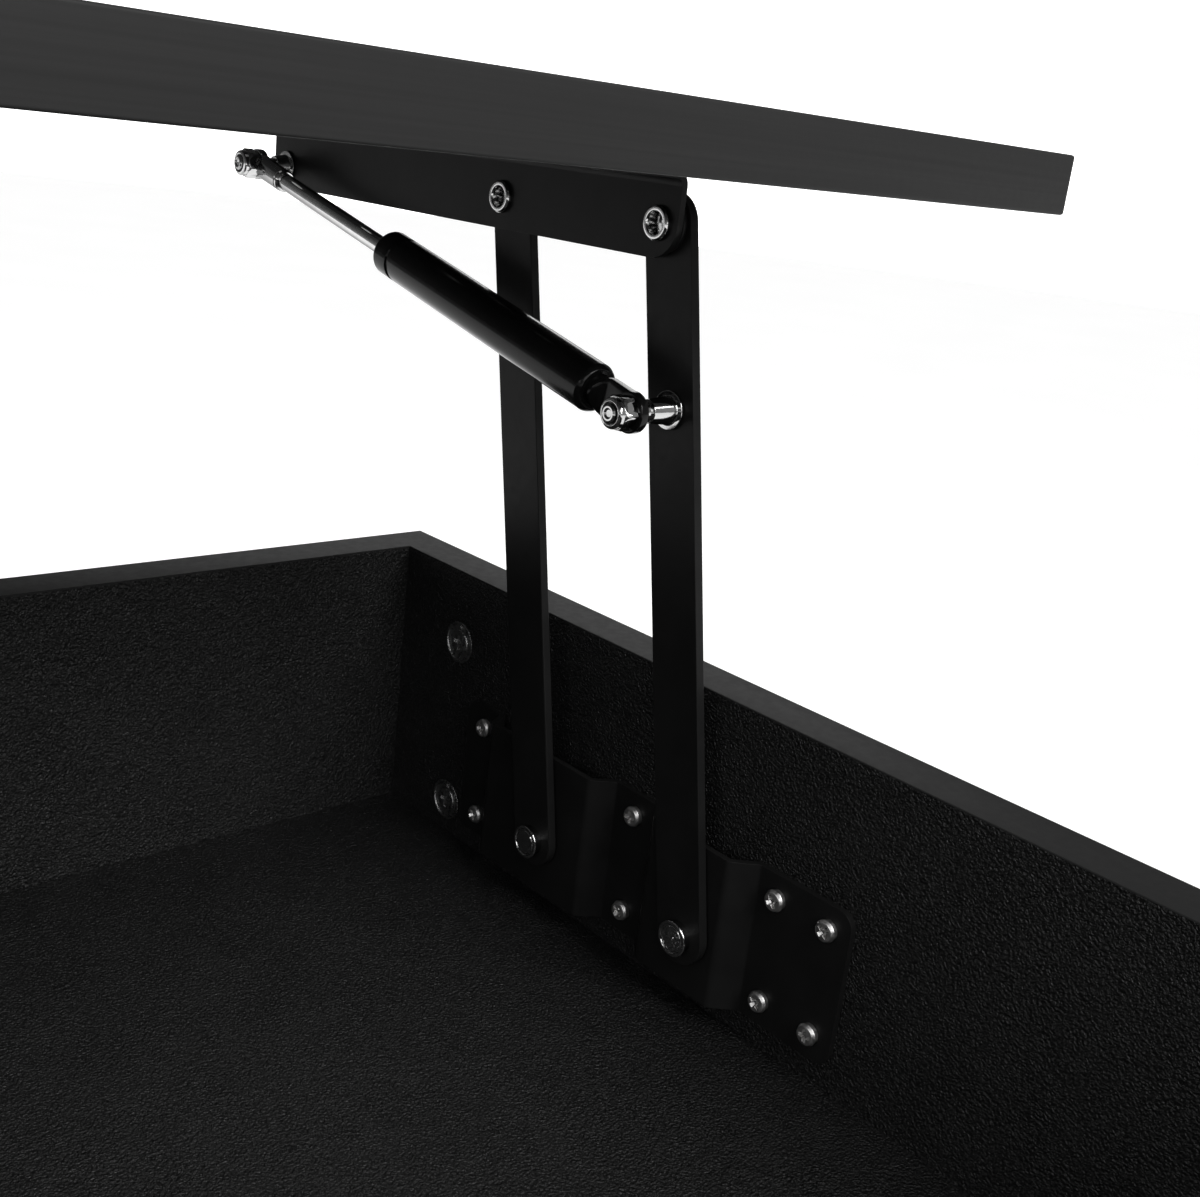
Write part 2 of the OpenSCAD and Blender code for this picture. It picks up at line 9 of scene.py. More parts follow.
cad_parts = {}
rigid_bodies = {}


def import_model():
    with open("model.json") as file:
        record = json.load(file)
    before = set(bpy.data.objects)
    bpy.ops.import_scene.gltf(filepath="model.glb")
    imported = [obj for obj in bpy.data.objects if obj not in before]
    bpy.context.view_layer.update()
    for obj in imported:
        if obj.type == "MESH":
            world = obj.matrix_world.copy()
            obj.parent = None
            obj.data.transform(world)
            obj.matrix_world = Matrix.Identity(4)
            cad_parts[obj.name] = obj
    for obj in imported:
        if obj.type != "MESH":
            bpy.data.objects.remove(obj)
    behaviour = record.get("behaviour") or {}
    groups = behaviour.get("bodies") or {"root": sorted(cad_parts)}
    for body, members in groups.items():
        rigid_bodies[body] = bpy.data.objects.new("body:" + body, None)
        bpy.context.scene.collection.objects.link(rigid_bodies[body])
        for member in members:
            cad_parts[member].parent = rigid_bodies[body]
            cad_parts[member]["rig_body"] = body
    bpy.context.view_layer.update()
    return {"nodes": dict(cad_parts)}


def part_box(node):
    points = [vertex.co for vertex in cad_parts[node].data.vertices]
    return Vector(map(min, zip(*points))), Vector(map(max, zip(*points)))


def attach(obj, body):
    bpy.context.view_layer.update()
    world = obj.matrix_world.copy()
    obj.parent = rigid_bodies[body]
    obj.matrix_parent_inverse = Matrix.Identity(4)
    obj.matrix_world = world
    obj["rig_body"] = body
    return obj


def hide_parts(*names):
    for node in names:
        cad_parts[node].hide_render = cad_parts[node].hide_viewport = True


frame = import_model()

# Looks of the lift top coffee table: camera, light, finishes, and the detailed hardware that
# stands for the plain CAD fasteners, gas springs and feet. Places come from the CAD nodes, in
# metres. Profiles of small hardware are drawn in millimetres and scaled when they are placed.

MM = 0.001
UP = Vector((0, 0, 1))
ALONG_X = Vector((1, 0, 0))
FLIP = Matrix.Scale(-1, 4, ALONG_X)
SIDES = ("left", "right")
MECHANISM = (-0.42, -0.1, 0.4)      # middle of the left lift, for the lights
STAGE_RADIUS = 9.0
STRIP_STEEL = 2                     # bracket steel, in millimetres like all sizes below
SCREW_HEAD_H = 2.3
DIVIDER_HEAD_H = 2.5
FLAT_CROWN = 0.3
CAM_DEPTH = 12.5
TUBE_WALL = 1.25
WASHER_HOLE_R = {"base_washers": 3.05, "top_washers": 4.05}
scene = bpy.context.scene
nodes = frame["nodes"]


# ---- camera, stage and light ----

def corner_of_compartment():
    """Top corner of the compartment, where the left end wall meets the front wall."""
    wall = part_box("left_end_panel")[1]
    return Vector((wall.x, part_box("front_apron")[1].y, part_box("case_edging")[1].z))


def turned_matrix(place, heading, pitch, roll):
    """Matrix of a camera at place that looks along a heading from +X, with a pitch and a roll."""
    forward = Vector((math.cos(pitch) * math.cos(heading),
                      math.cos(pitch) * math.sin(heading), math.sin(pitch)))
    level = forward.cross(UP).normalized()
    rise = level.cross(forward)
    right = level * math.cos(roll) + rise * math.sin(roll)
    up = rise * math.cos(roll) - level * math.sin(roll)
    axes = Matrix((right, up, -forward)).transposed()
    return Matrix.Translation(place) @ axes.to_4x4()


def add_camera():
    lens = bpy.data.cameras.new("camera")
    lens.lens = 42.56
    lens.sensor_width = 36
    lens.clip_start = 0.01
    lens.clip_end = 60
    camera = bpy.data.objects.new("camera", lens)
    scene.collection.objects.link(camera)
    place = corner_of_compartment() + Vector((0.2933, 0.4051, 0.1467))
    camera.matrix_world = turned_matrix(place, math.radians(-134.07), math.radians(-17.71),
                                        math.radians(6.73))
    scene.camera = camera


def add_softbox(name, place, target, size, power):
    """Rectangular area light of a width and height, aimed at a target."""
    light = bpy.data.lights.new(name, "AREA")
    light.shape = "RECTANGLE"
    light.size = size[0]
    light.size_y = size[1]
    light.energy = power
    lamp = bpy.data.objects.new(name, light)
    scene.collection.objects.link(lamp)
    lamp.location = place
    lamp.rotation_euler = (Vector(target) - Vector(place)).to_track_quat("-Z", "Y").to_euler()


def add_sun(name, towards, strength, spread):
    """Broad, soft key light that comes from a direction."""
    light = bpy.data.lights.new(name, "SUN")
    light.energy = strength
    light.angle = math.radians(spread)
    lamp = bpy.data.objects.new(name, light)
    scene.collection.objects.link(lamp)
    lamp.rotation_euler = Vector(towards).to_track_quat("Z", "Y").to_euler()


def add_stage():
    """Pale floor, a white backdrop round and over it that lights nothing, and a grey sky."""
    reach = STAGE_RADIUS
    bm = bmesh.new()
    bmesh.ops.create_circle(bm, cap_ends=True, segments=96, radius=reach)
    floor = plain_object("stage_floor", bm)
    pale = Finish("stage_floor", colour=(0.9, 0.9, 0.9), roughness=0.8, specular=0.1)
    pale.colour_noise(3, (0.9, 0.9, 0.9), (0.92, 0.92, 0.92))
    pale.set("Emission Color", (1, 1, 1, 1))
    pale.set("Emission Strength", 0.25)
    floor.data.materials.append(pale.material)

    dome = lathe([(reach, -0.01), (reach, reach * 0.5), (reach * 0.8, reach * 0.8),
                  (reach * 0.4, reach), (0, reach * 1.05)], 96)
    backdrop = plain_object("stage_backdrop", dome)
    white = Finish("stage_backdrop", colour=(1, 1, 1), roughness=1.0)
    white.set("Emission Color", (1, 1, 1, 1))
    white.set("Emission Strength", 1.0)
    backdrop.data.materials.append(white.material)
    backdrop.visible_diffuse = False
    backdrop.visible_glossy = False
    backdrop.visible_shadow = False

    world = bpy.data.worlds.new("studio")
    world.use_nodes = True
    scene.world = world
    world.node_tree.nodes["Background"].inputs["Color"].default_value = (1, 1, 1, 1)
    world.node_tree.nodes["Background"].inputs["Strength"].default_value = 0.25


# ---- finishes ----

def grey(level):
    """Linear value of an 8-bit grey level."""
    x = level / 255
    return x / 12.92 if x <= 0.04045 else ((x + 0.055) / 1.055) ** 2.4


def tone(level, warmth=0.0):
    """Linear colour of an 8-bit grey level, a little warm (positive) or cool (negative)."""
    return (grey(level) * (1 + warmth), grey(level), grey(level) * (1 - warmth))


class Finish:
    """A procedural material in object coordinates, in metres; scale is in features a metre."""

    def __init__(self, name, colour, roughness, metallic=0.0, specular=0.5, coat=0.0):
        self.material = bpy.data.materials.new(name)
        self.material.use_nodes = True
        self.tree = self.material.node_tree
        self.shader = self.tree.nodes["Principled BSDF"]
        self.material.diffuse_color = (*colour, 1)
        self.set("Base Color", (*colour, 1))
        self.set("Roughness", roughness)
        self.set("Metallic", metallic)
        self.set("Specular IOR Level", specular)
        self.set("Coat Weight", coat)
        self.place = self.node("ShaderNodeTexCoord").outputs["Object"]

    def node(self, kind, **values):
        made = self.tree.nodes.new(kind)
        for key, value in values.items():
            setattr(made, key, value)
        return made

    def set(self, socket, value):
        self.shader.inputs[socket].default_value = value

    def link(self, out, into):
        self.tree.links.new(out, into)

    def stretched(self, scale):
        """Object coordinates, stretched by a factor along each axis."""
        mapping = self.node("ShaderNodeMapping")
        mapping.inputs["Scale"].default_value = scale
        self.link(self.place, mapping.inputs["Vector"])
        return mapping.outputs["Vector"]

    def noise(self, scale, detail=2.0, distortion=0.0, place=None):
        made = self.node("ShaderNodeTexNoise")
        made.inputs["Scale"].default_value = scale
        made.inputs["Detail"].default_value = detail
        made.inputs["Distortion"].default_value = distortion
        self.link(place or self.place, made.inputs["Vector"])
        return made.outputs["Fac"]

    def cells(self, scale, feature="SMOOTH_F1", place=None):
        made = self.node("ShaderNodeTexVoronoi", feature=feature)
        made.inputs["Scale"].default_value = scale
        self.link(place or self.place, made.inputs["Vector"])
        return made.outputs["Distance"]

    def span(self, value, low, high, from_low=0.35, from_high=0.65):
        """value, mapped from its middle range onto low to high."""
        made = self.node("ShaderNodeMapRange")
        made.inputs["From Min"].default_value = from_low
        made.inputs["From Max"].default_value = from_high
        made.inputs["To Min"].default_value = low
        made.inputs["To Max"].default_value = high
        self.link(value, made.inputs["Value"])
        return made.outputs["Result"]

    def blend_colours(self, value, first, second):
        made = self.node("ShaderNodeMix", data_type="RGBA")
        made.inputs["A"].default_value = (*first, 1)
        made.inputs["B"].default_value = (*second, 1)
        self.link(value, made.inputs["Factor"])
        return made.outputs["Result"]

    def colour_noise(self, scale, first, second, detail=3.0, place=None):
        value = self.span(self.noise(scale, detail, place=place), 0, 1)
        self.link(self.blend_colours(value, first, second), self.shader.inputs["Base Color"])

    def painted_rim_shade(self):
        """Paints shade into the colour where the surface turns away: a painted dark reflection at the
        rims of polished metal.
        """
        layer = self.node("ShaderNodeLayerWeight")
        layer.inputs["Blend"].default_value = 0.5
        turned = self.span(layer.outputs["Facing"], 0, 1, 0.5, 0.75)
        base = self.shader.inputs["Base Color"]
        mix = self.node("ShaderNodeMix", data_type="RGBA")
        # painted shade: the dark colour painted on the turned-away rims
        mix.inputs["B"].default_value = (*tone(40), 1)
        self.link(base.links[0].from_socket, mix.inputs["A"])
        self.link(turned, mix.inputs["Factor"])
        self.link(mix.outputs["Result"], base)

    def rough_noise(self, scale, low, high, detail=3.0, place=None):
        value = self.span(self.noise(scale, detail, place=place), low, high)
        self.link(value, self.shader.inputs["Roughness"])

    def bump(self, height, depth, strength=1.0):
        """Adds relief of a depth in metres; several reliefs add up."""
        made = self.node("ShaderNodeBump")
        made.inputs["Strength"].default_value = strength
        made.inputs["Distance"].default_value = depth
        self.link(height, made.inputs["Height"])
        normal = self.shader.inputs["Normal"]
        if normal.links:
            self.link(normal.links[0].from_socket, made.inputs["Normal"])
        self.link(made.outputs["Normal"], normal)


def melamine():
    """Black melamine-faced board with a pebbled grain about a millimetre wide."""
    f = Finish("melamine_board", tone(21), 0.4, specular=0.34)
    f.colour_noise(55, tone(19), tone(23))
    f.rough_noise(300, 0.38, 0.5)
    f.bump(f.noise(1250, 1.5, 0.6), 0.0013, 1.0)
    f.bump(f.cells(1300), 0.0006, 0.5)
    return f.material


def edge_strip(name, level, shine):
    """Smooth plastic edge strip with very fine lines along its length."""
    f = Finish(name, tone(level), 0.45, specular=shine)
    lines = f.stretched((6, 6, 900))
    f.colour_noise(1, tone(level - 2), tone(level + 2), place=lines)
    f.rough_noise(400, 0.48, 0.54)
    f.bump(f.noise(1, 2, place=lines), 0.00003, 0.3)
    return f.material


def powder_coat():
    """Satin black powder coat with a faint orange peel."""
    f = Finish("powder_steel", tone(26), 0.36, specular=0.11)
    f.colour_noise(80, tone(24), tone(28))
    f.rough_noise(400, 0.32, 0.4)
    f.bump(f.noise(1300, 2), 0.00003, 0.2)
    return f.material


def enamel():
    """Semi-gloss black paint of the gas spring's tube."""
    f = Finish("spring_black", tone(14), 0.16, specular=0.2)
    f.colour_noise(120, tone(12), tone(16))
    f.rough_noise(500, 0.13, 0.2)
    f.bump(f.noise(900, 2), 0.000006, 0.2)
    return f.material


def metal(name, level, low, high, scale=600, depth=0.00002, warmth=0.0):
    """Plated metal with a fine uneven polish."""
    f = Finish(name, tone(level, warmth), (low + high) / 2, metallic=1.0)
    f.colour_noise(scale / 4, tone(level - 14, warmth), tone(level, warmth))
    f.rough_noise(scale, low, high)
    f.bump(f.noise(scale * 2, 3), depth, 0.4)
    # painted dark reflection on the rims, darker where the surface turns away
    f.painted_rim_shade()
    return f.material


def polished():
    """Hard chrome of the piston rods, with faint lines round them."""
    f = Finish("polished_rod", tone(228), 0.1, metallic=1.0)
    f.colour_noise(300, tone(220), tone(232))
    f.rough_noise(700, 0.04, 0.08)
    # painted dark reflection on the rims, darker where the surface turns away
    f.painted_rim_shade()
    return f.material


def plastic():
    """Black moulded plastic."""
    f = Finish("black_plastic", tone(22), 0.5, specular=0.4)
    f.colour_noise(200, tone(20), tone(26))
    f.rough_noise(500, 0.44, 0.58)
    f.bump(f.noise(1500, 2), 0.00004, 0.4)
    return f.material


def beech():
    """Beech dowel with grain along it."""
    f = Finish("dowel_wood", (0.55, 0.33, 0.17), 0.6, specular=0.3)
    f.colour_noise(90, (0.46, 0.26, 0.12), (0.62, 0.4, 0.22), detail=6)
    f.rough_noise(300, 0.55, 0.7)
    f.bump(f.noise(700, 4), 0.0001, 0.3)
    return f.material


def all_finishes():
    """Material for each slot of the record."""
    return {
        "melamine_board": melamine(),
        "top_edge_strip": edge_strip("top_edge_strip", 38, 0.15),
        "case_edge_strip": edge_strip("case_edge_strip", 34, 0.05),
        "powder_steel": powder_coat(),
        "spring_black": enamel(),
        "chrome_hardware": metal("chrome_hardware", 215, 0.06, 0.13, 500, 0.00001),
        "zinc_screw": metal("zinc_screw", 228, 0.3, 0.45, 900, 0.00004, 0.01),
        "cam_zinc": metal("cam_zinc", 175, 0.2, 0.4, 1000, 0.0007),
        "polished_rod": polished(),
        "black_plastic": plastic(),
        "dowel_wood": beech(),
    }


# ---- mesh building ----

def plain_object(name, bm, sharp=35):
    """Object made from a bmesh, smooth except at edges sharper than an angle in degrees."""
    mesh = bpy.data.meshes.new(name)
    bm.normal_update()
    bm.to_mesh(mesh)
    bm.free()
    for face in mesh.polygons:
        face.use_smooth = True
    mesh.set_sharp_from_angle(angle=math.radians(sharp))
    made = bpy.data.objects.new(name, mesh)
    scene.collection.objects.link(made)
    return made


def piece(name, bm, body, slot, *replaced):
    """Finished piece: rides on a body, takes a slot's finish and stands for CAD nodes."""
    made = plain_object(name, bm)
    made.data.materials.append(finishes[slot])
    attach(made, body)
    if replaced:
        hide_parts(*replaced)
    return made


def body_of_node(name):
    return nodes[name]["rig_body"]


def soften(points, steps=4):
    """Open profile with round corners; a point is (x, y) or (x, y, corner radius)."""
    line = []
    for i, point in enumerate(points):
        here = Vector(point[:2])
        radius = point[2] if len(point) > 2 else 0
        if not radius or i in (0, len(points) - 1):
            line.append(here)
            continue
        back = (Vector(points[i - 1][:2]) - here).normalized()
        on = (Vector(points[i + 1][:2]) - here).normalized()
        half = back.angle(on) / 2
        centre = here + (back + on).normalized() * radius / math.sin(half)
        start = here + back * radius / math.tan(half) - centre
        end = here + on * radius / math.tan(half) - centre
        turn = math.atan2(start.x * end.y - start.y * end.x, start.dot(end))
        for k in range(steps + 1):
            line.append(centre + Matrix.Rotation(turn * k / steps, 2) @ start)
    return line


def lathe(profile, segments=64, closed=False, reach=None):
    """Solid turned about Z from a profile of (radius, height), drawn upward on the outside.
    closed joins its ends round a bore; reach(angle) limits the radius, as a hexagon does."""
    bm = bmesh.new()
    rings = []
    for radius, height in profile:
        if radius < 1e-6:
            rings.append([bm.verts.new((0, 0, height))])
            continue
        ring = []
        for k in range(segments):
            angle = 2 * math.pi * k / segments
            r = min(radius, reach(angle)) if reach else radius
            ring.append(bm.verts.new((r * math.cos(angle), r * math.sin(angle), height)))
        rings.append(ring)
    for low, high in zip(rings, rings[1:] + rings[:1] if closed else rings[1:]):
        bridge(bm, low, high)
    return tidy_mesh(bm)


def bridge(bm, low, high):
    """Faces between two rings; a ring of one point is a pole."""
    count = max(len(low), len(high))
    for k in range(count):
        corners = [low[k % len(low)], low[(k + 1) % len(low)],
                   high[(k + 1) % len(high)], high[k % len(high)]]
        corners = [v for i, v in enumerate(corners) if v not in corners[:i]]
        if len(corners) > 2:
            bm.faces.new(corners)


def tidy_mesh(bm):
    bmesh.ops.remove_doubles(bm, verts=bm.verts, dist=1e-5)
    bmesh.ops.recalc_face_normals(bm, faces=bm.faces)
    return bm


def prism(outline, low, high, scale_low=1.0):
    """Straight or tapered prism of a closed outline, between two heights."""
    bm = bmesh.new()
    rings = [[bm.verts.new((x * s, y * s, z)) for x, y in outline]
             for s, z in ((scale_low, low), (1.0, high))]
    bridge(bm, *rings)
    bm.faces.new(reversed(rings[0]))
    bm.faces.new(rings[1])
    return tidy_mesh(bm)


def joined(*meshes):
    """One bmesh that holds several; frees the others."""
    whole = meshes[0]
    for bm in meshes[1:]:
        mesh = bpy.data.meshes.new("part")
        bm.to_mesh(mesh)
        bm.free()
        whole.from_mesh(mesh)
        bpy.data.meshes.remove(mesh)
    return whole


def moved(bm, matrix):
    bm.transform(matrix)
    if matrix.determinant() < 0:
        bmesh.ops.reverse_faces(bm, faces=bm.faces)
    return bm


def combined(solid, tool, operation="DIFFERENCE"):
    """Exact boolean of two closed meshes; frees both."""
    first, second = plain_object("solid", solid), plain_object("tool", tool)
    step = first.modifiers.new("cut", "BOOLEAN")
    step.operation = operation
    step.solver = "EXACT"
    step.object = second
    graph = bpy.context.evaluated_depsgraph_get()
    result = bmesh.new()
    result.from_mesh(first.evaluated_get(graph).to_mesh())
    for made in (first, second):
        mesh = made.data
        bpy.data.objects.remove(made)
        bpy.data.meshes.remove(mesh)
    return tidy_mesh(result)


def islands(node):
    """(lowest, highest corner) of each separate solid of a CAD node, in a fixed order."""
    mesh = nodes[node].data
    key = {}
    group = list(range(len(mesh.vertices)))

    def root(i):
        while group[i] != i:
            group[i] = group[group[i]]
            i = group[i]
        return i

    for v in mesh.vertices:
        spot = tuple(round(c * 1e6) for c in v.co)
        group[root(v.index)] = root(key.setdefault(spot, v.index))
    for edge in mesh.edges:
        group[root(edge.vertices[0])] = root(edge.vertices[1])
    solids = {}
    for v in mesh.vertices:
        solids.setdefault(root(v.index), []).append(v.co)
    boxes = [(Vector(map(min, zip(*spots))), Vector(map(max, zip(*spots))))
             for spots in solids.values()]
    return sorted(boxes, key=lambda box: tuple(round(c, 4) for c in box[0]))


def facing(direction, place, turn=0.0):
    """Matrix that puts a millimetre part's Z along a direction, at a place in metres."""
    aim = Vector(direction).to_track_quat("Z", "Y").to_matrix().to_4x4()
    return (Matrix.Translation(place) @ aim @ Matrix.Rotation(turn, 4, "Z")
            @ Matrix.Scale(MM, 4))


def middle(box):
    return (box[0] + box[1]) / 2


# ---- fasteners, in millimetres ----

def cross_cutter(width, arm, depth):
    """Tapered cutter for a Phillips recess in a face at z = 0."""
    outline = []
    for quarter in range(4):
        turn = Matrix.Rotation(math.pi / 2 * quarter, 2)
        for x, y in ((width / 2, -arm / 2), (width / 2, arm / 2), (arm * 0.62, arm * 0.62)):
            outline.append(turn @ Vector((x, y)))
    return prism(outline, -depth, 1.0, 0.42)


def thread(outer, length, pitch=1.25, segments=14):
    """Coarse screw thread below z = 0 that ends in a point."""
    bm = bmesh.new()
    core, steps = outer * 0.34, 4
    rings = []
    for i in range(int(length / pitch * steps)):
        z = -i * pitch / steps
        taper = min(1.0, max((length + z) / (outer * 1.1), 0.12))
        ring = []
        for k in range(segments):
            phase = (i / steps - k / segments) % 1
            crest = max(0.0, 1 - abs(phase - 0.5) * 4)
            r = (core + (outer / 2 - core) * crest) * taper
            angle = 2 * math.pi * k / segments
            ring.append(bm.verts.new((r * math.cos(angle), r * math.sin(angle), z)))
        rings.append(ring)
    for low, high in zip(rings, rings[1:]):
        bridge(bm, low, high)
    bridge(bm, [bm.verts.new((0, 0, 0))], rings[0])
    bridge(bm, rings[-1], [bm.verts.new((0, 0, -length))])
    return tidy_mesh(bm)


def pan_screw(shank, head_d=6.7, head_h=SCREW_HEAD_H, thread_d=3.5):
    """Pan-head screw with a Phillips recess and a threaded shank; its head sits on z = 0."""
    r = head_d / 2
    head = lathe(soften([(0, 0), (r, 0, 0.12), (r, head_h * 0.6, 0.5), (r * 0.82, head_h - 0.12, 0.5),
                         (r * 0.3, head_h, 1), (0, head_h)], 5), 48)
    recess = moved(cross_cutter(head_d * 0.86, head_d * 0.25, head_h * 0.5),
                   Matrix.Translation((0, 0, head_h)))
    shank_mesh = moved(thread(thread_d, shank), Matrix.Translation((0, 0, 0.2)))
    return combined(combined(head, recess), shank_mesh, "UNION")


def flat_screw(shank, head_d=6.7, cone=1.7, crown=FLAT_CROWN, thread_d=3.5):
    """Countersunk screw with a Phillips recess; the rim of its head is at z = 0."""
    r = head_d / 2
    head = lathe(soften([(0, -cone), (thread_d / 2, -cone), (r, -0.1, 0.1), (r, 0, 0.05),
                         (r * 0.5, crown, 1.5), (0, crown)], 4), 48)
    recess = moved(cross_cutter(head_d * 0.56, head_d * 0.15, 1.3),
                   Matrix.Translation((0, 0, crown)))
    shank_mesh = moved(thread(thread_d, shank - cone), Matrix.Translation((0, 0, 0.2 - cone)))
    return combined(combined(head, recess), shank_mesh, "UNION")


def hexagon(across):
    """Radius limit of a hexagon with a distance across its flats."""
    def reach(angle):
        return across / 2 / math.cos((angle + math.pi / 6) % (math.pi / 3) - math.pi / 6)
    return reach


def lock_nut():
    """Nylon-insert nut: chamfered hexagon with a rolled round collar, seated on z = 0."""
    outline = soften([(2.55, 0), (4.3, 0), (5.15, 0.5), (5.15, 3.9), (4.6, 4.4, 0.15),
                      (4.3, 4.4, 0.1), (4.3, 5.9, 0.7), (3.3, 6.3, 0.25), (2.95, 6.1),
                      (2.95, 5.2), (2.55, 5.2)])
    return lathe(outline, 72, closed=True, reach=hexagon(8.9))


def insert_ring():
    """Nylon ring inside a lock nut's collar."""
    return lathe(soften([(2.56, 5.25), (2.94, 5.25), (2.94, 5.95, 0.1), (2.56, 5.8)], 2), 48,
                 closed=True)


def shoulder_rivet(top, rough):
    """Rivet along +Z: tail, shank, shoulder and a dished head that ends at z = top."""
    outline = [(0, 0), (4.4, 0, 0.2), (4.8, 0.6, 0.2), (4.8, 2.4), (3, 2.4), (3, 8.45),
               (4.8, 8.45), (4.8, top - 0.9, 0.1), (5.5, top - 0.9, 0.12), (5.5, top, 0.4),
               (4.5, top, 0.15), (4.3, top - 0.3, 0.1), (3.9, top - 0.3, 0.1), (3.7, top - 0.08, 0.1)]
    dish = [(r / 10, top - 0.08) for r in range(34, 0, -4)] + [(0, top - 0.08)]
    bm = lathe(soften(outline, 5) + dish, 64)
    if rough:
        for v in bm.verts:
            if v.co.z > top - 0.2 and v.co.xy.length < 3.6:
                v.co.z += 0.3 * noise.noise(v.co * 2.1) - 0.1
    return bm


def hollow_rivet(top, steel_from):
    """Tubular rivet along +Z with a flared lip; steel_from is where it leaves the web."""
    outline = [(2.9, 0.2), (3.1, 0), (5.2, 0, 0.3), (5.6, 0.4, 0.2), (5.6, 1.35), (4, 1.35),
               (4, steel_from), (4.8, steel_from, 0.1), (4.75, steel_from + 1.1, 0.35),
               (4.2, top, 0.35), (3.3, top, 0.3), (2.9, top - 0.6)]
    return lathe(soften(outline, 5), 64, closed=True)


def stud(face, flange_t, pin_end, seat, tail=()):
    """Flanged stud along +Z from a steel face: tapered barrel, then a pin for eye and nut."""
    outline = [*tail, (5.5, face, 0.12), (5.5, face + flange_t, 0.25),
               (4.0, face + flange_t, 0.35), (3.3, seat, 0.2), (2.5, seat), (2.5, pin_end - 0.5),
               (2.0, pin_end, 0.1), (1.5, pin_end, 0.1), (1.0, pin_end - 0.5), (0, pin_end - 0.6)]
    return lathe(soften(outline), 64)


def washer(outer, inner, thick):
    """Flat washer on z = 0 with rolled edges."""
    edge = thick * 0.3
    return lathe(soften([(inner, edge), (inner + edge, 0), (outer, 0, edge), (outer, thick, edge),
                         (inner + edge, thick), (inner, thick - edge)], 3), 64, closed=True)


def cam_disc(depth):
    """Cam lock with its face at z = 0: rim, sunk ring, hub with a cross slot, and an arrow."""
    outline = [(0, -depth), (7.2, -depth, 0.3), (7.5, -depth + 0.4), (7.5, 0, 0.25), (6.7, 0, 0.1),
               (6.5, -0.45, 0.1), (4.5, -0.45, 0.1), (4.3, -0.05, 0.15), (0, -0.05)]
    disc = lathe(soften(outline, 3), 64)
    disc = combined(disc, cross_cutter(7.2, 1.5, 2.6))
    arrow = prism([(5.0, -0.75), (6.2, 0), (5.0, 0.75)], -0.6, -0.08)
    disc = combined(disc, arrow, "UNION")
    bore = moved(lathe([(0, 0), (4, 0), (4, 9), (0, 9)], 32),
                 Matrix.Translation((0, 0, -8)) @ Matrix.Rotation(-math.pi / 2, 4, "X"))
    return combined(disc, bore)


def round_bar(radius, low, high):
    return lathe([(0, low), (radius, low), (radius, high), (0, high)], 48)


# ---- gas spring, in millimetres: +Z from the lower stud to the upper stud, X across ----

def tube_shell(radius, low, high, rod):
    """Tube with a rolled-in lower end, a rolled groove, and a rounded end round the rod."""
    groove = high - 10
    outline = [(radius - 1.2, low + 1.2), (4.65, low + 1.2), (4.65, low + 0.25),
               (5.5, low + 0.25, 0.2), (5.75, low, 0.15), (6.15, low, 0.12), (radius - 0.55, low + 0.35),
               (radius, low + 1.5, 0.9),
               (radius, groove - 0.9, 0.2), (radius - 0.55, groove - 0.45, 0.3),
               (radius - 0.55, groove + 0.45, 0.3), (radius, groove + 0.9, 0.2),
               (radius, high - 2.6, 1.6), (radius - 2.4, high, 1.4), (rod + 0.9, high, 0.15),
               (rod + 0.7, high - 0.7), (rod + 0.4, high - 0.7), (rod + 0.4, high - 1.2),
               (radius - 1.2, high - 1.2)]
    return lathe(soften(outline, 6), 96, closed=True)


def flattened_eye(eye_r, thick, waist, sections):
    """Eye on the stud at z = 0 with a neck that changes from flat to round.
    sections are (z, half thickness, half width, squareness) from the eye outward."""
    bm = bmesh.new()
    rings = []
    for z, half_x, half_y, square in sections:
        ring = []
        for k in range(48):
            angle = 2 * math.pi * k / 48
            c, s = math.cos(angle), math.sin(angle)
            ring.append(bm.verts.new((half_x * math.copysign(abs(c) ** (2 / square), c),
                                      half_y * math.copysign(abs(s) ** (2 / square), s), z)))
        rings.append(ring)
    for low, high in zip(rings, rings[1:]):
        bridge(bm, low, high)
    bm.faces.new(rings[0])
    bm.faces.new(rings[-1])
    neck = tidy_mesh(bm)
    disc = lathe(soften([(0, -thick / 2), (eye_r, -thick / 2, 0.5), (eye_r, thick / 2, 0.5),
                         (0, thick / 2)], 4), 64)
    across = Matrix.Rotation(math.pi / 2, 4, "Y")
    eye = combined(moved(disc, across), neck, "UNION")
    return combined(eye, moved(round_bar(waist, -10, 10), across))


def rod_eye_mesh(ferrule, rod):
    """Ferrule crimped on the rod, flattened into the eye; ferrule is its end's distance."""
    start = -ferrule
    sections = [(start, 3.3, 3.3, 2), (start + 0.5, 3.85, 3.85, 2), (start + 1.3, 3.9, 3.9, 2),
                (start + 1.5, 3.65, 3.65, 2), (start + 1.8, 3.65, 3.65, 2),
                (start + 2.0, 3.9, 3.9, 2), (-6.6, 3.9, 3.9, 2), (-5.6, 3.6, 4.0, 2.2),
                (-4.7, 2.4, 4.1, 3), (-4.2, 1.46, 4.2, 6), (-1.5, 1.46, 4.2, 8)]
    return combined(flattened_eye(5.2, 2.9, 2.55, sections),
                    round_bar(rod + 0.01, start - 1, start + 4))


def end_lug_mesh(tube_low, plug_r):
    """Black end plug: flat lug on the stud, neck, and a plug inside the tube."""
    sections = [(1, 1.46, 5.6, 8), (9.4, 1.46, 5.6, 8), (10.8, 2.0, 5.3, 5), (12.0, 3.2, 4.9, 3),
                (12.8, 4.3, 4.6, 2.2), (13.4, 4.5, 4.5, 2), (tube_low + 1.15, 4.5, 4.5, 2),
                (tube_low + 1.25, plug_r, plug_r, 2), (tube_low + 6.2, plug_r, plug_r, 2)]
    return flattened_eye(5.75, 2.96, 2.55, sections)


# ---- placing the pieces ----

